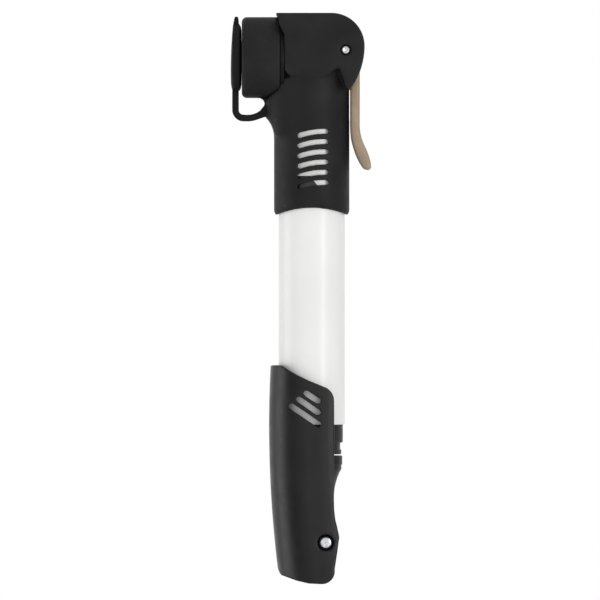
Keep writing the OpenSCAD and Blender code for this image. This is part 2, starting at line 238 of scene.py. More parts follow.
def moulded_plastic(name, colour, roughness, grain, depth, gloss=0.2, wear_and_highlight=0.5):
    """Injection-moulded plastic. The tool's spark-eroded cavity leaves a fine even grain, the melt's flow
    leaves faint clouds in tone and sheen, and the edges that stand out are painted lighter, partly as wear from
    handling and partly as a painted highlight along the rims."""
    cloud, scuff_and_highlight_patch, sheen_patch, wave, wave_depth = 14, 1.2, 5, 9, 0.05
    edge_low, edge_high = 0.515, 0.56
    material, shader, place = new_material(name, Specular_IOR_Level=gloss, IOR=PLASTIC_IOR)
    tone = mix_colours(patches(place, cloud, 3.0), rgba(colour), shade(colour, 1.5, 0.002))
    # the edges that stand out are painted lighter: part wear, part painted highlight along the rims
    edges = add_node(shader.id_data, "NewGeometry").outputs["Pointiness"]
    scuffs_and_painted_highlight = arithmetic("MULTIPLY", spread(edges, edge_low, edge_high, 0.0, wear_and_highlight),
                        noise(place, scuff_and_highlight_patch))
    tone = mix_colours(scuffs_and_painted_highlight, tone, shade(colour, 3, 0.02))
    sheen = patches(place, sheen_patch, 2.0, roughness - 0.05, roughness + 0.06, 0.3)
    colour_in(shader, tone, sheen)
    pits = add_node(place.id_data, "TexVoronoi", {
        "Vector": place, "Scale": per_mm(grain), "Randomness": 1.0}).outputs[0]
    first = dent(shader, noise(place, wave, 1.0), wave_depth, 0.4)
    dent(shader, pits, depth, 0.5, first)
    return material


def head_nylon():
    """Black glass-filled nylon with a satin face. Its real grain of 0.1 mm is drawn at 0.45 mm, so that it
    shows at arm's length."""
    return moulded_plastic("Moulded glass-filled nylon", context_colours().nylon,
                           roughness=0.52, grain=0.45, depth=0.012, gloss=0.13)


def collar_nylon():
    """The same nylon from another tool, with a slightly closer grain and a duller face."""
    return moulded_plastic("Moulded nylon collar", context_colours().nylon,
                           roughness=0.56, grain=0.38, depth=0.012, gloss=0.1)


def knuckle_nylon():
    """Unfilled black nylon, a shade greyer and glossier than the head."""
    return moulded_plastic("Moulded nylon knuckle", context_colours().knuckle,
                           roughness=0.42, grain=0.5, depth=0.01)


def handle_plastic():
    """Black ABS from a finely eroded tool. The palm polishes it, so it is glossier than the head."""
    return moulded_plastic("Moulded ABS grip", context_colours().handle,
                           roughness=0.36, grain=0.4, depth=0.008, gloss=0.3)


def lever_plastic():
    """Beige acetal-like plastic with a waxy satin face, and painted shade that darkens it towards its lower end.
    """
    colour = context_colours().lever
    cloud_size, wave, grain, shade_top, shade_low = 6, 7, 0.5, 56 * MM, 46 * MM
    material, shader, place = new_material(
        "Moulded beige nylon", Specular_IOR_Level=0.4, IOR=PLASTIC_IOR, Roughness=0.42)
    cloud = noise(place, cloud_size, 4.0)
    tone = mix_colours(spread(cloud, 0.35, 0.7), rgba(colour), shade(colour, 0.82))
    height = parts_of(place)[2]
    # painted shade: the colour darkens from 56 mm down to 46 mm, towards the lever's lower end
    painted_shade = arithmetic("MULTIPLY", spread(height, shade_top, shade_low, 0.0, 0.35), cloud)
    tone = mix_colours(painted_shade, tone, shade(colour, 0.5))
    colour_in(shader, tone)
    first = dent(shader, noise(place, wave, 1.0), 0.05, 0.5)
    dent(shader, noise(place, grain, 1.0), 0.01, 0.5, first)
    return material


def barrel_paint():
    """Gloss white powder coat on drawn aluminium. The powder flows out into orange peel about 1.5 mm
    across. A plain dark print band lies on it under the skirt, with one slanting end."""
    colour = context_colours().paint
    speck, cloud, gloss_patch, peel = 0.6, 18, 4, 1.5
    band_top, band_high, band_x, slant = 41.3 * MM, 9 * MM, -0.6 * MM, 0.79
    material, shader, place = new_material(
        "Powder-coated white aluminium", Specular_IOR_Level=0.4, IOR=PLASTIC_IOR, Coat_Weight=0.15)
    specks = patches(place, speck, 2.0, low=0.66, high=0.74)
    white = mix_colours(patches(place, cloud, 2.0), rgba(colour), shade(colour, 0.965))
    white = mix_colours(arithmetic("MULTIPLY", specks, 0.06), white, (0.5, 0.5, 0.5, 1.0))
    across, _, height = parts_of(place)
    below = arithmetic("LESS_THAN", height, band_top)
    above = arithmetic("GREATER_THAN", height, band_top - band_high)
    drop = arithmetic("MULTIPLY", arithmetic("SUBTRACT", height, band_top), -slant)
    left = arithmetic("LESS_THAN", across, arithmetic("ADD", drop, band_x))
    band = arithmetic("MULTIPLY", arithmetic("MULTIPLY", below, above), left)
    tone = mix_colours(band, white, rgba(hex_colour("#1c1c1e")))
    colour_in(shader, tone, patches(place, gloss_patch, 2.0, 0.3, 0.38, 0.3))
    dent(shader, noise(place, peel, 1.0), 0.02, 0.5)
    return material


def soft_rubber(name, colour, roughness=0.62, bloom=0.25):
    """Moulded black rubber. It is matt, with a grey bloom that comes out in patches, and a faintly uneven
    skin where it left the tool."""
    bloom_size, sheen_patch, skin = 4, 2, 0.8
    material, shader, place = new_material(name, Specular_IOR_Level=0.2, IOR=PLASTIC_IOR)
    bloomed = spread(noise(place, bloom_size, 4.0, 0.6), 0.45, 0.75, 0.0, bloom)
    tone = mix_colours(bloomed, rgba(colour), shade(colour, 2.2, 0.01))
    sheen = patches(place, sheen_patch, 2.0, roughness - 0.08, roughness + 0.08, 0.3)
    colour_in(shader, tone, sheen)
    dent(shader, noise(place, skin, 2.0), 0.02, 0.5)
    return material


def cap_rubber():
    """EPDM rubber of the dust cap, its strap and its ring, darker than the nylon beside it."""
    return soft_rubber("Moulded EPDM rubber", context_colours().rubber)


def gland_rubber():
    """Firm nitrile rubber of the valve gland, a little grey from talc."""
    return soft_rubber("Moulded nitrile gland", hex_colour("#2b2b2b"), roughness=0.66, bloom=0.5)


def seal_rubber():
    """Nitrile O-rings and washers, slick with silicone grease."""
    return soft_rubber("Greased nitrile seals", hex_colour("#121212"), roughness=0.34, bloom=0.1)


def acetal():
    """Off-white acetal, turned or moulded. It is slippery and slightly translucent, so light gets a
    little way in and edges look soft."""
    cloud, grain = 5, 0.7
    material, shader, place = new_material(
        "Natural acetal", Specular_IOR_Level=0.45, IOR=1.48, Roughness=0.32,
        Subsurface_Weight=0.15, Subsurface_Scale=1.0 * MM)
    tone = mix_colours(patches(place, cloud, 3.0),
                       rgba(hex_colour("#dcd7c9")), rgba(hex_colour("#cbc5b4")))
    colour_in(shader, tone)
    dent(shader, noise(place, grain, 1.0), 0.01, 0.4)
    return material


def bare_metal(name, colour, roughness, line, across=(1, 1, 1), tarnish=0.15):
    """Bare metal with fine tool lines. The lines run along the axis whose stretch is small, and a thin
    oxide dulls it in patches."""
    dull_patch = 3
    material, shader, place = new_material(name, Metallic=1.0)
    dull = patches(place, dull_patch, 3.0, 0.0, tarnish, 0.4, 0.75)
    tone = mix_colours(dull, rgba(colour), shade(colour, 0.45))
    stretched = add_node(place.id_data, "Mapping", {
        "Vector": place, "Scale": across}).outputs[0]
    lines = noise(stretched, line, 3.0, 0.6)
    sheen = spread(lines, 0.3, 0.7, roughness - 0.06, roughness + 0.08)
    colour_in(shader, tone, sheen)
    dent(shader, lines, 0.006, 0.5)
    return material


def steel():
    """Zinc-plated steel of the screw, nut and pins: bright, a little blue, with lines from tumbling."""
    return bare_metal("Zinc-plated steel", hex_colour("#d2d4d8"), roughness=0.24, line=0.35)


def rod_aluminium():
    """Drawn and clear-anodised aluminium of the rod, with die lines 0.3 mm apart along its length."""
    return bare_metal("Drawn anodised aluminium", hex_colour("#c9cbce"),
                      roughness=0.3, line=0.3, across=(1, 1, 0.02))


def brass():
    """Free-cutting brass of the outlet's seat, with feed marks round it."""
    return bare_metal("Turned brass", hex_colour("#c9a45c"),
                      roughness=0.28, line=0.25, across=(0.15, 0.15, 1))


def spring_steel():
    """Bright stainless wire of the poppet's spring."""
    return bare_metal("Drawn spring steel", hex_colour("#b4b6ba"), roughness=0.3, line=0.2)


def felt():
    """Grey wool felt of the wiper, oiled. Short fibres lie every way, so it has no gloss and a soft nap."""
    fibre = 0.35
    material, shader, place = new_material(
        "Oiled wool felt", Roughness=0.95, Specular_IOR_Level=0.1, Sheen_Weight=0.4, Sheen_Roughness=0.6)
    fibres = noise(place, fibre, 5.0, 0.75)
    tone = mix_colours(spread(fibres, 0.35, 0.65),
                       rgba(hex_colour("#4b4a47")), rgba(hex_colour("#6d6b66")))
    colour_in(shader, tone)
    dent(shader, fibres, 0.15, 0.8)
    return material


MATERIALS = {made.__name__: made for made in (
    head_nylon, collar_nylon, knuckle_nylon, handle_plastic, lever_plastic, barrel_paint, cap_rubber,
    gland_rubber, seal_rubber, acetal, brass, steel, spring_steel, rod_aluminium, felt)}
_made = {}


def finish_of(slot):
    """The material of a record slot, made once."""
    if slot not in _made:
        _made[slot] = MATERIALS[slot]()
    return _made[slot]


def context_colours():
    """The colours that a user sets in the panel."""
    return bpy.context.scene.pump_colours


# ---- modelling ----

def deselect():
    """Leaves nothing selected, because the frame's nodes come in selected."""
    bpy.ops.object.select_all(action="DESELECT")


def pick(piece):
    """Makes one piece the only one selected, and active."""
    deselect()
    piece.select_set(True)
    bpy.context.view_layer.objects.active = piece


def arc(centre, radius, start, end, steps=12):
    """Points of an arc, from one angle to another, in degrees."""
    points = []
    for i in range(steps + 1):
        a = math.radians(start + (end - start) * i / steps)
        points.append((centre[0] + radius * math.cos(a), centre[1] + radius * math.sin(a)))
    return points


@contextmanager
def whole_mesh():
    """Edit mode, with all of the active piece selected."""
    bpy.ops.object.mode_set(mode="EDIT")
    bpy.ops.mesh.select_all(action="SELECT")
    yield
    bpy.ops.object.mode_set(mode="OBJECT")


def modified(piece, kind, **settings):
    """Puts a modifier on a piece and applies it."""
    pick(piece)
    bpy.ops.object.modifier_add(type=kind)
    modifier = piece.modifiers[-1]
    for name, value in settings.items():
        setattr(modifier, name, value)
    bpy.ops.object.modifier_apply(modifier=modifier.name)
    return piece


def weld(piece):
    """Merges points that meet, drops loose edges and turns all faces outwards."""
    pick(piece)
    with whole_mesh():
        bpy.ops.mesh.remove_doubles(threshold=WELD)
        bpy.ops.mesh.delete_loose()
        bpy.ops.mesh.select_all(action="SELECT")
        bpy.ops.mesh.normals_make_consistent(inside=False)
    return piece


def outline_of(places, filled):
    """A circle primitive with one point for each place, moved onto those places in millimetres."""
    deselect()
    bpy.ops.mesh.primitive_circle_add(vertices=len(places), fill_type="NGON" if filled else "NOTHING")
    piece = bpy.context.object
    for vertex, place in zip(piece.data.vertices, places):
        vertex.co = Vector(place) * MM
    return piece


def slab(points, near, far):
    """An outline in X and Z, extruded along Y from near to far."""
    piece = outline_of([(x, near, z) for x, z in points], True)
    with whole_mesh():
        bpy.ops.mesh.extrude_region_move(TRANSFORM_OT_translate={"value": (0, (far - near) * MM, 0)})
    return weld(piece)


def block(low, high):
    """A block between two corners."""
    corners = [(low[0], low[2]), (high[0], low[2]), (high[0], high[2]), (low[0], high[2])]
    return slab(corners, low[1], high[1])


AXES = {"X": (Vector((1, 0, 0)), Vector((0, 0, 1))),
        "Y": (Vector((0, 1, 0)), Vector((1, 0, 0))),
        "Z": (Vector((0, 0, 1)), Vector((1, 0, 0)))}


def turned(profile, axis, about=(0, 0, 0), steps=TURN_STEPS):
    """A closed profile of (radius, distance along the axis), spun round that axis."""
    along, out = AXES[axis]
    centre = Vector(about)
    piece = outline_of([centre + out * radius + along * place for radius, place in profile], False)
    with whole_mesh():
        bpy.ops.mesh.spin(steps=steps, angle=math.tau, center=centre * MM, axis=along)
    return weld(piece)


def rod(radius, low, high, axis, about=(0, 0, 0)):
    """A round bar along an axis."""
    return turned([(0, low), (radius, low), (radius, high), (0, high)], axis, about)


def bore(radius, about):
    """A round bar along Y that is long enough to go right through the pump."""
    return rod(radius, -20, 20, "Y", about)


def tube(outer, inner, low, high, axis, about=(0, 0, 0)):
    """A round tube along an axis."""
    return turned([(inner, low), (outer, low), (outer, high), (inner, high)], axis, about)


def combine(piece, tools, operation="DIFFERENCE"):
    """Cuts tools from a piece, adds them to it, or keeps what they share. The tools are used up."""
    for tool in tools:
        modified(piece, "BOOLEAN", operation=operation, solver="MANIFOLD", object=tool)
        bpy.data.objects.remove(tool)
    return piece


def round_moulding(piece, voxel, rounds):
    """Turns a union of plain solids into one skin with the soft edges and fillets of a moulding."""
    modified(piece, "REMESH", mode="VOXEL", voxel_size=voxel * MM)
    return modified(piece, "SMOOTH", factor=0.5, iterations=rounds)


def relax_near(piece, centre, reach, rounds):
    """Blends the skin round a place, fading out with distance."""
    group = piece.vertex_groups.new(name="relaxed")
    middle = Vector(centre) * MM
    for vertex in piece.data.vertices:
        share = 1 - (vertex.co - middle).length / (reach * MM)
        if share > 0:
            group.add([vertex.index], min(1.0, 2 * share), "REPLACE")
    modified(piece, "SMOOTH", factor=0.5, iterations=rounds, vertex_group=group.name)
    piece.vertex_groups.clear()
    return piece


def round_edges(piece, width, segments=3, angle=40):
    """Bevels the edges sharper than an angle, in degrees."""
    return modified(piece, "BEVEL", width=width * MM, segments=segments, limit_method="ANGLE",
                    angle_limit=math.radians(angle))


def hand_over(piece, name, slot, body, *nodes, smooth_angle=None):
    """Names a finished piece, gives it its material, and puts it in the place of its frame nodes."""
    piece.name = name
    piece.data.name = name
    piece.data.materials.clear()
    piece.data.materials.append(finish_of(slot))
    pick(piece)
    if smooth_angle is None:
        bpy.ops.object.shade_smooth()
    else:
        bpy.ops.object.shade_smooth_by_angle(angle=math.radians(smooth_angle))
    if body:
        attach(piece, body)
    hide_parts(*nodes)
    return piece


# ---- settings ----

class PumpHeadSettings(PropertyGroup):
    """Sizes of the head and its slotted skirt"""
    neck_radius: FloatProperty(name="Neck radius", description="Outside radius of neck and skirt",
                               default=0.01256, unit="LENGTH")
    skirt_arch: FloatProperty(name="Skirt arch",
                              description="Rise of the skirt's lower edge between its tips",
                              default=0.0023, unit="LENGTH")
    slot_count: IntProperty(name="Slots", description="Number of slots in the skirt", default=6)
    slot_pitch: FloatProperty(name="Slot pitch", description="Distance from slot to slot",
                              default=0.0034, unit="LENGTH")
    slot_width: FloatProperty(name="Slot width", description="Width of a slot",
                              default=0.0016, unit="LENGTH")
    voxel: FloatProperty(name="Skin detail", description="Size of the smallest detail in the moulded skin",
                         default=0.00038, unit="LENGTH", precision=5)


class PumpHandleSettings(PropertyGroup):
    """Sizes of the folding handle"""
    back_radius: FloatProperty(name="Back radius", description="Radius of the shell's round back",
                               default=0.01402, unit="LENGTH")
    sweep_radius: FloatProperty(name="Sweep radius", description="Radius of the long curve down the back",
                                default=0.39, unit="LENGTH")
    slot_width: FloatProperty(name="Slot width", description="Width of a slanted slot",
                              default=0.0019, unit="LENGTH")
    voxel: FloatProperty(name="Skin detail", description="Size of the smallest detail in the moulded skin",
                         default=0.00038, unit="LENGTH", precision=5)


class PumpColours(PropertyGroup):
    """Colours of the pump's finishes"""
    nylon: FloatVectorProperty(name="Head nylon", description="Black of the head and the collar",
                               default=hex_colour("#1b1b1c"), subtype="COLOR")
    knuckle: FloatVectorProperty(name="Knuckle nylon",
                                 description="Black of the knuckle and the end collar",
                                 default=hex_colour("#171718"), subtype="COLOR")
    handle: FloatVectorProperty(name="Handle", description="Black of the folding handle",
                                default=hex_colour("#0a0a0b"), subtype="COLOR")
    rubber: FloatVectorProperty(name="Rubber", description="Black of the dust cap and its strap",
                                default=hex_colour("#0a0a0b"), subtype="COLOR")
    lever: FloatVectorProperty(name="Lever", description="Beige of the thumb-lock lever",
                               default=hex_colour("#a29079"), subtype="COLOR")
    paint: FloatVectorProperty(name="Barrel paint", description="White of the barrel",
                               default=hex_colour("#eeeeed"), subtype="COLOR")


# ---- head ----

CHEEK_LEFT = -9.1       # the cheek's edge beside the cap ring
RING_BACK = CHEEK_LEFT
RING_FRONT = COLLAR_HIGH.x + 0.04   # the ring lies just clear of the turning collar
STRAP_HALF = 2.5        # half the width of the cap's strap and tab
STRAP_ROOT_X = -15.6    # where the strap meets the throat
RUBBER_VOXEL = 0.26     # the smallest detail in the skin of the rubber pieces
WEB_BOTTOM = 64.6       # lower edge of the ring's web
FREE_GAP = 0.3          # room round the turning collar
BOSS_R = 10.3           # the chuck boss that the collar screws on
CHAMBER_R = 7.6         # the chamber of the gland and the insert


def cheek_outline():
    """Side of the cheeks: flat top, round nose, and an ear that runs down beside the lever."""
    nose_r, flank_r = 11, 24
    nose = (HEAD_HIGH.x - nose_r, HEAD_HIGH.z - nose_r)
    return ([(CHEEK_LEFT, HEAD_HIGH.z)]
            + arc(nose, nose_r, 90, 0, 20)
            + arc((HEAD_HIGH.x - flank_r, nose[1]), flank_r, 0, -36.5)[1:]
            + [(12.2, 69.8), (11.1, 71.5), (10.4, 73.2), (9.4, 75.8)]
            + arc((0.7, 84.1), 10.4, -38, -90)
            + [(-2.6, 73.9), (-4.8, 74.2)]
            + arc((CHEEK_LEFT + 3.6, 77.9), 3.6, 250, 180, 8))


def skirt_slots(settings):
    """Slots that rise and flatten to the right, through the front and the back of the skirt."""
    top, slot_x, slot_r, left, right, inside = 56.1, 4.4, 26, 109, 89, 8
    half = settings.slot_width / MM / 2
    slots = []
    for i in range(settings.slot_count):
        centre = (slot_x, top - i * settings.slot_pitch / MM - slot_r)
        ends = [arc(centre, slot_r, a, a, 1)[0] for a in (right, left)]
        points = (arc(centre, slot_r + half, left, right)
                  + arc(ends[0], half, right, right - 180, 6)[1:-1]
                  + arc(centre, slot_r - half, right, left)
                  + arc(ends[1], half, left + 180, left, 6)[1:-1])
        slots += [slab(points, HEAD_LOW.y - 5, -inside), slab(points, inside, HEAD_HIGH.y + 5)]
    return slots


def skirt_edge(settings):
    """Tools that arch the skirt's lower edge and chamfer it all round."""
    neck_r = settings.neck_radius / MM
    rise = settings.skirt_arch / MM
    reach = neck_r - 0.6
    arch_r = (reach ** 2 + rise ** 2) / (2 * rise)
    centre = (0, 0, HEAD_LOW.z + rise - arch_r)
    tools = [bore(arch_r, centre)]
    chamfer_steps, chamfer_high, chamfer_deep = 4, 1.7, 0.75
    for i in range(chamfer_steps):
        share = (i + 0.5) / chamfer_steps
        step = bore(arch_r + chamfer_high * (1 - share), centre)
        band = tube(neck_r + 3, neck_r - chamfer_deep * share, HEAD_LOW.z - 2, HEAD_LOW.z + 6, "Z")
        tools.append(combine(step, [band], "INTERSECT"))
    return tools


def neck_and_throat(settings):
    """The neck, with its flare on the valve side and the bed of the cap's ring and strap."""
    neck_r, neck_top, bed_r = settings.neck_radius / MM, 78, 12.9
    flare_r, flare_z, throat_r, throat_top = 8.7, 54.4, 11.5, 74
    throat = rod(throat_r, flare_z, throat_top, "Z", (throat_r + STRAP_ROOT_X, 0, 0))
    combine(throat, [bore(flare_r, (-neck_r - flare_r, 0, flare_z))])
    neck = rod(neck_r, HEAD_LOW.z, neck_top, "Z")
    combine(neck, [throat], "UNION")
    return combine(neck, [
        rod(COLLAR_R + FREE_GAP, COLLAR_LOW.x - 2, COLLAR_HIGH.x + 0.1, "X", CHUCK),
        rod(bed_r, COLLAR_HIGH.x, RING_BACK, "X", CHUCK),
        block((-20, -STRAP_HALF, WEB_BOTTOM), (RING_BACK, STRAP_HALF, WEB_BOTTOM + 5)),
    ])


def roof_lip():
    """Beak on the cheeks' upper corner, which roofs the gap between the head and the collar."""
    top = HEAD_HIGH.z
    outline = [(-9.15, 88.5), (-10.7, 91.6), (-11, 93.4), (-12, top), (-8, top), (-8, 88.5)]
    beak = slab(outline, HEAD_LOW.y, HEAD_HIGH.y)
    return combine(beak, [rod(COLLAR_R + FREE_GAP, -15, RING_BACK, "X", CHUCK)])


def head_hollows():
    """The barrel's socket, the outlet valve's chamber, the chuck's chamber and the lever's slot and pin."""
    slot_y, slot_r, neck_edge, slot_low = 5.7, 6.6, 12.5, 60
    barrel_seat, outlet_r, outlet_top = BARREL_HIGH.z + 1.2, 6, 62.2
    valve_r, valve_low, valve_top = 3.4, 60, 70.4
    duct_r, duct_x, duct_z = 1.2, -8.6, 68.4
    chamber_back, plunger_r = -0.8, 4.55
    pin_r, sink_r, sink_depth = 1.35, 1.9, 1.2
    return [
        rod(BARREL_R + 0.05, HEAD_LOW.z - 2, barrel_seat, "Z"),
        rod(outlet_r, barrel_seat - 1, outlet_top, "Z"),
        rod(valve_r, valve_low, valve_top, "Z"),
        rod(duct_r, duct_x, 0, "X", (0, 0, duct_z)),
        rod(CHAMBER_R, HEAD_LOW.x - 1, chamber_back, "X", CHUCK),
        rod(plunger_r, chamber_back - 1, LEVER_PIN.x, "X", CHUCK),
        rod(slot_r, -slot_y, slot_y, "Y", LEVER_PIN),
        block((LEVER_PIN.x, -slot_y, LEVER_PIN.z), (HEAD_HIGH.x + 3, slot_y, LEVER_PIN.z + slot_r)),
        block((neck_edge, -slot_y, slot_low), (HEAD_HIGH.x + 3, slot_y, LEVER_PIN.z)),
        bore(pin_r, LEVER_PIN),
        rod(sink_r, HEAD_LOW.y - 2, HEAD_LOW.y + sink_depth, "Y", LEVER_PIN),
        rod(sink_r, HEAD_HIGH.y - sink_depth, HEAD_HIGH.y + 2, "Y", LEVER_PIN),
    ]


# where the head's skin is blended, in front and mirrored behind, and how far each reaches
BLENDS = (((-9.5, 7.5, 61), 10), ((-11, 6, 54.5), 7), ((-5.2, 11.4, 66), 8), ((9.4, 11.5, 76.5), 5.5),
          ((-1, 12.4, 74.2), 7))
BLEND_ROUNDS = 60


class PUMP_OT_head(Operator):
    """Models the head moulding with its cheeks, neck, chuck boss and slotted skirt"""
    bl_idname = "pump.head"
    bl_label = "Head"

    def execute(self, context):
        settings = context.scene.pump_head
        head = neck_and_throat(settings)
        cheeks = slab(cheek_outline(), HEAD_LOW.y, HEAD_HIGH.y)
        boss = rod(BOSS_R, HEAD_LOW.x, 0, "X", CHUCK)
        combine(head, [cheeks, boss, roof_lip()], "UNION")
        combine(head, head_hollows() + skirt_edge(settings) + skirt_slots(settings))
        round_moulding(head, settings.voxel / MM, 4)
        for side in (-1, 1):
            for (x, y, z), reach in BLENDS:
                relax_near(head, (x, y * side, z), reach, BLEND_ROUNDS)
        hand_over(head, "head_moulding", "head_nylon", "pump_body", "head_body")
        return {"FINISHED"}


class PUMP_OT_collar(Operator):
    """Turns the chuck's round collar, with a rounded rim and a chamfered mouth"""
    bl_idname = "pump.collar"
    bl_label = "Chuck collar"

    def execute(self, context):
        rim, wall, mouth = 1.7, 2.2, 4.6
        front, back = COLLAR_LOW.x, COLLAR_HIGH.x
        profile = ([(mouth + 0.5, front)]
                   + arc((COLLAR_R - rim, front + rim), rim, -90, 0, 8)
                   + [(COLLAR_R, back - 0.5), (COLLAR_R - 0.15, back - 0.15), (COLLAR_R - 0.5, back)]
                   + [(BOSS_R + 0.05, back), (BOSS_R + 0.05, front + wall)]
                   + [(mouth, front + wall), (mouth, front + 0.5)])
        collar = turned(profile, "X", CHUCK, steps=FINE_STEPS)
        hand_over(collar, "collar_turning", "collar_nylon", "collar", "chuck_collar", smooth_angle=35)
        return {"FINISHED"}


# ---- dust cap ----

class PUMP_OT_dust_cap(Operator):
    """Models the rubber dust cap: domed disc, plug, pull tab and the lug that its strap grows from"""
    bl_idname = "pump.dust_cap"
    bl_label = "Dust cap"

    def execute(self, context):
        dome_r, dome_drop, gap = 150, 4, 0.08
        cap_r, inner = CAP_HIGH.y, COLLAR_LOW.x - gap
        profile = [(0, CAP_LOW.x), (cap_r - 3, CAP_LOW.x), (cap_r - 1, CAP_LOW.x + 0.25),
                   (cap_r - 0.3, CAP_LOW.x + 0.55), (cap_r, CAP_LOW.x + 1.1), (cap_r, inner - 0.6),
                   (cap_r - 0.8, inner - 0.2), (cap_r - 2, inner),
                   (5.4, inner), (4.9, inner + 0.1), (4.1, inner + 0.3), (4.3, inner + 0.9),
                   (3.7, inner + 1.5), (2.4, inner + 1.5), (2.0, inner + 0.3), (0, inner + 0.3)]
        cap = turned(profile, "X", CHUCK, steps=FINE_STEPS)
        # a ball gives the disc its shallow dome
        ball = turned(arc((0, 0), dome_r, -90, 90, 180), "Z",
                      (CAP_LOW.x + dome_r, 0, CHUCK_Z - dome_drop), 360)
        combine(cap, [ball], "INTERSECT")
        # above this height the disc leans clear of the collar
        lean_z, lean_angle, wide, high = 91, -8, 20, 10
        lean = block((0, -wide, 0), (3, wide, high))
        lean.data.transform(Matrix.Translation(Vector((COLLAR_LOW.x, 0, lean_z)) * MM)
                            @ Matrix.Rotation(math.radians(lean_angle), 4, "Y"))
        combine(cap, [lean])
        tab = slab(arc((-25.1, 93.8), 0.7, 0, 180, 6)
                   + [(-26.1, 92.2), (-26.4, 89), (-24.3, 89), (-24.3, 92.4)], -STRAP_HALF, STRAP_HALF)
        lug = slab([(-26.5, 69.6), (-24.3, 69.6), (-24.2, 74), (-26.7, 74)], -STRAP_HALF, STRAP_HALF)
        combine(cap, [tab, lug], "UNION")
        round_moulding(cap, RUBBER_VOXEL, 2)
        hand_over(cap, "dust_cap_moulding", "cap_rubber", "cap", "dust_cap")
        return {"FINISHED"}


class PUMP_OT_strap(Operator):
    """Models the bent rubber strap and the ring that holds it"""
    bl_idname = "pump.strap"
    bl_label = "Strap and ring"

    def execute(self, context):
        outer_x, inner_x, top, turn, rise = -26.5, -24.3, 69.7, (-22.7, 63.35), 8
        ring_r = 12.85
        outer = [(outer_x, top - i * (top - turn[1]) / rise) for i in range(rise)]
        outer += arc(turn, 3.8, 180, 272, 16)[1:]
        outer += [(-21.4, 59.55), (-20.4, 59.6), (-19.4, 59.75), (-18.4, 60.05), (-17.4, 60.4),
                  (-16.4, 60.75), (STRAP_ROOT_X, 61.0), (-13.6, 61.2)]
        inner = [(-13.8, 66), (-15.7, 65.9)] + arc((-17.6, 65.6), 1.9, 0, -50, 5)
        inner += [(-17.2, 63.1), (-18.2, 62.45), (-19.2, 62.05), (-20.4, 61.75), (-21.6, 61.7)]
        inner += arc(turn, 1.6, 265, 180, 10)
        inner += [(inner_x, turn[1] + i * (top - turn[1]) / rise) for i in range(1, rise + 1)]
        strap = round_edges(slab(outer + inner, -STRAP_HALF, STRAP_HALF), width=0.45, angle=60)
        hand_over(strap, "cap_strap_bend", "cap_rubber", None, "cap_strap", smooth_angle=50)
        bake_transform(strap)
        ring = tube(ring_r, BOSS_R + 0.05, RING_FRONT, RING_BACK, "X", CHUCK)
        web_top = CHUCK_Z - COLLAR_R + 0.08
        web = slab([(-18.1, web_top)] + arc((-17.7, web_top - 2.1), 2.0, 90, 0, 8)
                   + [(STRAP_ROOT_X, WEB_BOTTOM), (RING_BACK, WEB_BOTTOM), (RING_BACK, web_top)],
                   -STRAP_HALF, STRAP_HALF)
        neck = block((RING_FRONT, -STRAP_HALF, WEB_BOTTOM), (RING_BACK, STRAP_HALF, WEB_BOTTOM + 5))
        combine(ring, [web, neck], "UNION")
        round_moulding(ring, RUBBER_VOXEL, 2)
        hand_over(ring, "cap_ring_moulding", "cap_rubber", "pump_body", "cap_ring")
        return {"FINISHED"}


# ---- lever ----

def cam_points():
    """The cam's involute, whose reach to a flat follower grows evenly with the turn."""
    cam_r, lift = 4.2, 2
    k = lift / (math.pi / 2)
    points = []
    for i in range(13):
        a = math.radians(180 - 7.5 * i)
        reach = cam_r + k * (math.pi - a)
        points.append((LEVER_PIN.x + reach * math.cos(a) + k * math.sin(a),
                       LEVER_PIN.z + reach * math.sin(a) - k * math.cos(a)))
    return points


class PUMP_OT_lever(Operator):
    """Models the thumb-lock lever with its cam, and the pin that it turns on"""
    bl_idname = "pump.lever"
    bl_label = "Lever and pin"

    def execute(self, context):
        pin = (LEVER_PIN.x, LEVER_PIN.z)
        cam_r, bore_r = 4.2, 1.35
        low, high = box_mm("lever")
        points = (cam_points()
                  + arc((pin[0] + 1.2, pin[1] + 2.6), 3.5, 80, 0, 8)
                  + [(16, 80), (16.05, 72), (16, 64), (16, 57.5), (16.25, 55.6), (16.6, 54),
                     (17.1, 52.6), (17.6, 51.5), (18.2, 50.2), (18.7, 49), (19.15, 47.7),
                     (19.5, 46.5), (19.75, 45.3)]
                  + arc((18.7, 44.4), 1.1, 20, -110, 8)
                  + [(17.5, 43.6), (17, 44), (15.9, 45.7), (15.1, 47.3), (14.5, 48.7), (13.9, 50.5),
                     (13.4, 52.3), (13.1, 53.8), (12.9, 55.6), (12.8, 58), (12.8, 66), (12.8, 79.3)]
                  + arc(pin, cam_r, 270, 187, 8))
        lever = round_edges(slab(points, low.y, high.y), width=1.25, segments=5, angle=50)
        combine(lever, [bore(bore_r, LEVER_PIN)])
        hand_over(lever, "lever_moulding", "lever_plastic", "lever_body", "lever", smooth_angle=40)
        end, pin_r = PIN_HIGH.y, PIN_HIGH.x - LEVER_PIN.x
        half = [(pin_r, end - 0.45), (pin_r - 0.12, end - 0.15), (pin_r - 0.4, end)]
        half += [(pin_r - 0.6, end - 0.02), (pin_r - 0.75, end - 0.12), (0, end - 0.2)]
        profile = [(r, -y) for r, y in reversed(half)] + half
        pin_piece = turned(profile, "Y", LEVER_PIN, 48)
        hand_over(pin_piece, "lever_pin_turning", "steel", "pump_body", "lever_pin", smooth_angle=30)
        return {"FINISHED"}


# ---- barrel ----

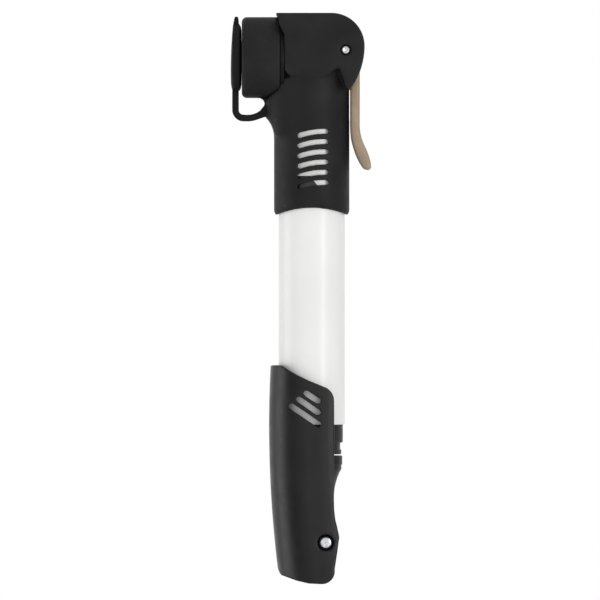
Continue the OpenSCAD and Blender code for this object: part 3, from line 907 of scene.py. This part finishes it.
class PUMP_OT_barrel(Operator):
    """Models the painted barrel tube and the grooved collar in its lower end"""
    bl_idname = "pump.barrel"
    bl_label = "Barrel"

    def execute(self, context):
        soft, wall = 0.25, 1.2
        low, high = BARREL_LOW.z, BARREL_HIGH.z
        inner = BARREL_R - wall
        profile = ([(inner, low + soft), (inner + soft, low), (BARREL_R - soft, low)]
                   + [(BARREL_R - 0.07, low + 0.07), (BARREL_R, low + soft)]
                   + [(BARREL_R, low + (high - low) * i / 8) for i in range(1, 8)]
                   + [(BARREL_R, high - soft), (BARREL_R - soft, high)]
                   + [(inner + soft, high), (inner, high - soft)])
        barrel = turned(profile, "Z", steps=160)
        hand_over(barrel, "barrel_tube", "barrel_paint", "pump_body", "barrel", smooth_angle=35)
        rim, groove, flange, exit_r, edge = 10.4, 9.5, 9.9, 5.8, 0.3
        groove_top, groove_low = -47.5, -49.8
        profile = [(exit_r, END_LOW.z + edge), (exit_r + edge, END_LOW.z), (flange - edge, END_LOW.z),
                   (flange, END_LOW.z + edge), (flange, groove_low - 0.2), (flange - 0.2, groove_low),
                   (groove + 0.15, groove_low + 0.05), (groove, groove_low + 0.2),
                   (groove, groove_top - 0.2), (groove + 0.2, groove_top), (rim - edge, groove_top),
                   (rim, groove_top + edge)]
        # a fine witness groove, then the lip under the barrel
        profile += [(rim, low - 1.2), (rim - 0.12, low - 1.05), (rim - 0.12, low - 0.9), (rim, low - 0.75),
                    (rim, low - 0.1), (rim - 0.1, low - 0.01), (inner - 0.02, low - 0.01),
                    (inner - 0.02, END_HIGH.z - edge), (inner - edge, END_HIGH.z), (exit_r, END_HIGH.z)]
        collar = turned(profile, "Z", steps=FINE_STEPS)
        hand_over(collar, "end_collar_turning", "knuckle_nylon", "pump_body", "end_collar", smooth_angle=35)
        return {"FINISHED"}


# ---- knuckle ----

class PUMP_OT_knuckle(Operator):
    """Models the knuckle on the rod: flange, hollow flare, and the block and lug that carry the pivot"""
    bl_idname = "pump.knuckle"
    bl_label = "Knuckle"

    def execute(self, context):
        flange_r, waist_r, flare_r, lug_r = KNUCKLE_HIGH.x, 7.4, 20.5, 4.15
        flange_top, flange_low, waist_z = KNUCKLE_HIGH.z, -54.7, -66
        foot_z, half, back, front, rise = -70, 8.2, -5, 7, 16
        flare = [(r, z) for r, z in arc((waist_r + flare_r, waist_z), flare_r, 180, 90, 24)
                 if r < flange_r - 0.3]
        profile = ([(0, foot_z), (waist_r, foot_z)] + flare
                   + [(flange_r - 0.3, flare[-1][1] + 0.4), (flange_r - 0.3, flange_low)]
                   + [(flange_r, flange_low), (flange_r, flange_top), (0, flange_top)])
        knuckle = turned(profile, "Z")
        combine(knuckle, [
            block((back, -half, PIVOT.z), (front, half, PIVOT.z + rise)),
            rod(lug_r, -half, half, "Y", PIVOT),
            block((-1, -half, PIVOT.z - lug_r), (PIVOT.x, half, PIVOT.z)),
        ], "UNION")
        rod_r, rod_low, pin_r, pin_z, bore_r, voxel = 4.02, -67, 1.25, -61, 1.55, 0.3
        combine(knuckle, [
            rod(rod_r, rod_low, flange_top + 1, "Z"),
            bore(pin_r, (0, 0, pin_z)),
            bore(bore_r, PIVOT),
        ])
        round_moulding(knuckle, voxel, 2)
        hand_over(knuckle, "knuckle_moulding", "knuckle_nylon", "rod", "rod_knuckle")
        return {"FINISHED"}


# ---- handle ----

def shell_outline():
    """Side outline of the shell: its curved top, open edge, thumb hollow, pivot swell and rounded foot."""
    edge = 7.5
    return ([(-16, SHELL_HIGH.z), (-10, SHELL_HIGH.z), (-8.3, -22.9), (-5, -24.8), (-1, -26.8)]
            + arc((2.55, -33.5), 4.9, 64, 0, 10)
            + [(edge, -50), (edge - 0.1, -62), (edge - 0.1, -67), (edge, -70), (7.9, -73.3), (8.6, -76)]
            + arc((PIVOT.x, -79), 4.5, 22, -14, 8)
            + [(8.5, -84), (7.9, -88)]
            + arc((3.4, -90.2), 4.3, 10, -97, 12)
            + [(-1, -94.3), (-5, -93.4), (-9, -92)]
            + arc((-8.4, -89.7), 2.6, 230, 190, 6)
            + [(-16, -84)])


def shell_loft(settings):
    """The shell's section, extruded down in short steps that follow the long curve of the back."""
    back_r, sweep_r = settings.back_radius / MM, settings.sweep_radius / MM
    belly_z, top, bottom, steps, back_shift = -42, -12, -100, 30, 0.2
    side_r = back_r + 10.1
    side_a = math.degrees(math.asin(14 / side_r))       # the sides reach 14 mm past the middle
    section = (arc((0, 0), back_r, 90, 270, 48)
               + arc((0, side_r - back_r), side_r, -90, -90 + side_a, 8)[1:]
               + arc((0, back_r - side_r), side_r, 90 - side_a, 90, 8)[:-1])

    def shift(z):
        """How far the section lies towards +X at a height."""
        return sweep_r - math.sqrt(sweep_r ** 2 - (z - belly_z) ** 2) - back_shift

    loft = outline_of([(x + shift(top), y, top) for x, y in section], True)
    drop = (bottom - top) / steps
    with whole_mesh():
        for i in range(steps):
            z = top + drop * i
            sideways = shift(z + drop) - shift(z)
            bpy.ops.mesh.extrude_region_move(
                TRANSFORM_OT_translate={"value": (sideways * MM, 0, drop * MM)})
    return weld(loft)


def channel(radius, x, low, high):
    """A round-bottomed channel, open towards +X."""
    groove = rod(radius, low, high, "Z", (x, 0, 0))
    return combine(groove, [block((x, -radius, low), (x + 20, radius, high))], "UNION")


def grip_slot(left, right, half):
    """A slanted slot with round ends, through front and back."""
    a = math.degrees(math.atan2(right[1] - left[1], right[0] - left[0]))
    return slab(arc(left, half, a + 90, a + 270, 8) + arc(right, half, a - 90, a + 90, 8), -20, 20)


class PUMP_OT_handle(Operator):
    """Models the folding handle shell with its channels, pivot bosses and slanted slots"""
    bl_idname = "pump.handle"
    bl_label = "Handle"

    def execute(self, context):
        settings = context.scene.pump_handle
        half = settings.slot_width / MM / 2
        shell = shell_loft(settings)
        combine(shell, [slab(shell_outline(), SHELL_LOW.y, SHELL_HIGH.y)], "INTERSECT")
        channel_r, step_z, knuckle_x, foot_z = BARREL_R + 0.35, -61, 2, -90.6
        combine(shell, [
            channel(channel_r, 0, step_z, 0),
            channel(BARREL_R, knuckle_x, foot_z, step_z + 1),
        ])
        boss_in, boss_out, boss_r = 8.5, 11.8, 4.15
        combine(shell, [
            rod(boss_r, -boss_out, -boss_in, "Y", PIVOT),
            rod(boss_r, boss_in, boss_out, "Y", PIVOT),
        ], "UNION")
        bore_r, sink_r, nut_r, sink_y = 1.5, 2.8, 3.25, 11.4
        combine(shell, [
            bore(bore_r, PIVOT),
            rod(sink_r, -20, -sink_y, "Y", PIVOT),
            slab(arc((PIVOT.x, PIVOT.z), nut_r, 0, 300, 5), sink_y, 20),
            grip_slot((-6.8, -35.3), (2.2, -41.3), half),
            grip_slot((-4.3, -33), (2.1, -37.4), half),
            grip_slot((-1.8, -31), (2.1, -33.6), half),
        ])
        round_moulding(shell, settings.voxel / MM, 3)
        hand_over(shell, "handle_moulding", "handle_plastic", "handle", "handle_shell")
        return {"FINISHED"}


class PUMP_OT_fasteners(Operator):
    """Models the cross-recess pivot screw and its nut"""
    bl_idname = "pump.fasteners"
    bl_label = "Pivot screw and nut"

    def execute(self, context):
        head_r, shank_r, under, crown = 2.33, 1.5, -11.4, SCREW_LOW.y
        profile = [(0, crown), (0.9, crown + 0.05), (1.6, crown + 0.22), (2.05, crown + 0.5),
                   (head_r, crown + 0.95), (head_r, under - 0.12), (head_r - 0.12, under),
                   (shank_r, under), (shank_r, SCREW_HIGH.y - 0.4), (shank_r - 0.4, SCREW_HIGH.y),
                   (0, SCREW_HIGH.y)]
        screw = turned(profile, "Y", PIVOT, 64)
        turn, arm, half, deep = 20, 1.5, 0.38, 1.1
        # two slots and a hollow between them make the cross recess
        for a in (turn, turn + 90):
            slot = block((-arm, crown - 1, -half), (arm, crown + deep, half))
            slot.data.transform(Matrix.Translation(PIVOT * MM)
                                @ Matrix.Rotation(math.radians(a), 4, "Y"))
            combine(screw, [slot])
        middle = [(0, crown - 1), (0.8, crown - 1), (0.75, crown + 0.5), (0, crown + 1.5)]
        combine(screw, [turned(middle, "Y", PIVOT, 24)])
        round_edges(screw, width=0.06, segments=2)
        hand_over(screw, "pivot_screw_head", "steel", "handle", "pivot_screw", smooth_angle=35)
        nut_r = 3.1
        nut = slab(arc((PIVOT.x, PIVOT.z), nut_r, 0, 300, 5), NUT_LOW.y, NUT_HIGH.y)
        corner = [(0, NUT_LOW.y - 0.1), (nut_r + 0.2, NUT_LOW.y - 0.1), (nut_r + 0.2, NUT_HIGH.y - 0.45)]
        corner += [(nut_r - 0.45, NUT_HIGH.y + 0.02), (0, NUT_HIGH.y + 0.02)]
        combine(nut, [turned(corner, "Y", PIVOT, 48)], "INTERSECT")
        combine(nut, [rod(shank_r + 0.01, NUT_LOW.y - 1, NUT_HIGH.y + 1, "Y", PIVOT)])
        round_edges(nut, width=0.08, segments=2)
        hand_over(nut, "pivot_nut_hex", "steel", "handle", "pivot_nut", smooth_angle=30)
        return {"FINISHED"}


# ---- inner pieces ----

class PUMP_OT_spring(Operator):
    """Winds the outlet poppet's spring"""
    bl_idname = "pump.spring"
    bl_label = "Poppet spring"

    def execute(self, context):
        wire_r, turns, facets = 0.32, 6, 10
        coil_r = SPRING_HIGH.x - wire_r
        low, high = SPRING_LOW.z + wire_r, SPRING_HIGH.z - wire_r
        wire = arc((0, 0), wire_r, 0, 360 - 360 / facets, facets - 1)
        spring = outline_of([(coil_r + x, 0, low + z) for x, z in wire], False)
        modified(spring, "SCREW", angle=math.tau * turns, screw_offset=(high - low) * MM,
                 steps=24 * turns, render_steps=24 * turns)
        with whole_mesh():
            bpy.ops.mesh.fill_holes(sides=0)
        weld(spring)
        hand_over(spring, "poppet_spring_coil", "spring_steel", "pump_body", "check_spring",
                  smooth_angle=60)
        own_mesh(spring)
        return {"FINISHED"}


class PUMP_OT_inner_finishes(Operator):
    """Gives the frame's own inner pieces the finish that their record slot names"""
    bl_idname = "pump.inner_finishes"
    bl_label = "Inner finishes"

    def execute(self, context):
        slots = {part["node"]: part["material_slot"] for part in frame["record"]["subparts"]}
        for name, node in frame["nodes"].items():
            if node.hide_render:
                continue
            node.data.materials.clear()
            node.data.materials.append(finish_of(slots[name]))
        return {"FINISHED"}


# ---- stage ----

# name, place in metres, size in metres, power in watts
SOFTBOXES = (
    ("left softbox", (-0.74, 0.06, -0.1), (0.42, 0.9), 2.6),
    ("right softbox", (0.48, -0.56, 0.0), (0.18, 0.8), 1.9),
    ("top softbox", (0.0, -0.15, 0.75), (0.6, 0.4), 0.9),
)


class PUMP_OT_stage(Operator):
    """Sets up the pale floor, the soft studio light and the camera"""
    bl_idname = "pump.stage"
    bl_label = "Stage"

    def execute(self, context):
        scene = context.scene
        floor_r, floor_drop = 0.46, 0.11
        deselect()
        bpy.ops.mesh.primitive_circle_add(vertices=128, radius=floor_r, fill_type="NGON",
                                          location=(0, 0, CAD_BOX[0][2] - floor_drop))
        floor = context.object
        floor.name = "floor"
        material, shader, place = new_material("Matt pale floor", Roughness=0.9)
        cloud = 300
        tone = mix_colours(noise(place, cloud),
                           rgba(hex_colour("#fafafa")), rgba(hex_colour("#f4f4f4")))
        colour_in(shader, tone)
        floor.data.materials.append(material)
        self.add_world(scene)
        for name, place, size, power in SOFTBOXES:
            self.add_softbox(name, Vector(place), size, power)
        self.add_camera(scene)
        scene.view_settings.view_transform = "Standard"
        return {"FINISHED"}

    def add_world(self, scene):
        """Soft white from the front and from behind, with darker sides that draw the round pieces."""
        world = scene.world or bpy.data.worlds.new("Studio")
        scene.world = world
        world.use_nodes = True
        tree = world.node_tree
        tree.nodes.clear()
        way = add_node(tree, "TexCoord").outputs["Generated"]
        depth = parts_of(way)[1]
        bright, dark, behind = 1.19, 0.42, 0.9
        front = spread(depth, -0.98, -0.6, bright, dark)
        level = arithmetic("MAXIMUM", front, spread(depth, 0.1, 0.8, dark, behind))
        seen = add_node(tree, "LightPath").outputs["Is Camera Ray"]
        level = arithmetic("MAXIMUM", level, seen)
        sky = add_node(tree, "Background", {"Color": (1, 1, 1, 1), "Strength": level})
        add_node(tree, "OutputWorld", {"Surface": sky.outputs[0]})

    def add_softbox(self, name, place, size, power):
        """An area light that faces the pump."""
        light = bpy.data.lights.new(name, "AREA")
        light.shape = "RECTANGLE"
        light.size, light.size_y = size
        light.energy = power
        box = bpy.data.objects.new(name, light)
        bpy.context.scene.collection.objects.link(box)
        box.location = place
        box.visible_camera = False
        box.rotation_euler = (-place).to_track_quat("-Z", "Y").to_euler()

    def add_camera(self, scene):
        """A long lens, level with the middle of the pump, that looks along +Y."""
        lens, covers, sensor = 900, 0.2, 36
        middle = Vector((-3.9, 0, 0)) * MM
        camera = bpy.data.cameras.new("camera")
        camera.lens = lens
        camera.sensor_width = sensor
        rig = bpy.data.objects.new("camera", camera)
        scene.collection.objects.link(rig)
        rig.location = middle + Vector((0, -covers * lens / sensor, 0))
        rig.rotation_euler = (math.radians(90), 0, 0)
        scene.camera = rig


OPERATORS = (PUMP_OT_head, PUMP_OT_collar, PUMP_OT_dust_cap, PUMP_OT_strap, PUMP_OT_lever, PUMP_OT_barrel,
             PUMP_OT_knuckle, PUMP_OT_handle, PUMP_OT_fasteners, PUMP_OT_spring, PUMP_OT_inner_finishes,
             PUMP_OT_stage)


class PUMP_PT_panel(Panel):
    """Lists the pump's pieces and the sizes and colours that a user can change"""
    bl_idname = "PUMP_PT_panel"
    bl_label = "Mini pump"
    bl_space_type = "VIEW_3D"
    bl_region_type = "UI"
    bl_category = "Pump"

    def draw(self, context):
        for group in (context.scene.pump_head, context.scene.pump_handle, context.scene.pump_colours):
            column = self.layout.column()
            for name in group.bl_rna.properties.keys():
                if name not in ("rna_type", "name"):
                    column.prop(group, name)
        for operator in OPERATORS:
            self.layout.operator(operator.bl_idname)


GROUPS = {"pump_head": PumpHeadSettings, "pump_handle": PumpHandleSettings, "pump_colours": PumpColours}
CLASSES = (*GROUPS.values(), *OPERATORS, PUMP_PT_panel)


def register():
    """Registers the classes and hangs the settings on the scene."""
    for made in CLASSES:
        bpy.utils.register_class(made)
    for name, group in GROUPS.items():
        setattr(bpy.types.Scene, name, PointerProperty(type=group))


def unregister():
    """Takes the settings and the classes away."""
    for name in GROUPS:
        delattr(bpy.types.Scene, name)
    for made in reversed(CLASSES):
        bpy.utils.unregister_class(made)


def main():
    """Builds the whole pump."""
    register()
    for operator in OPERATORS:
        group, name = operator.bl_idname.split(".")
        getattr(getattr(bpy.ops, group), name)()


if __name__ == "__main__":
    main()
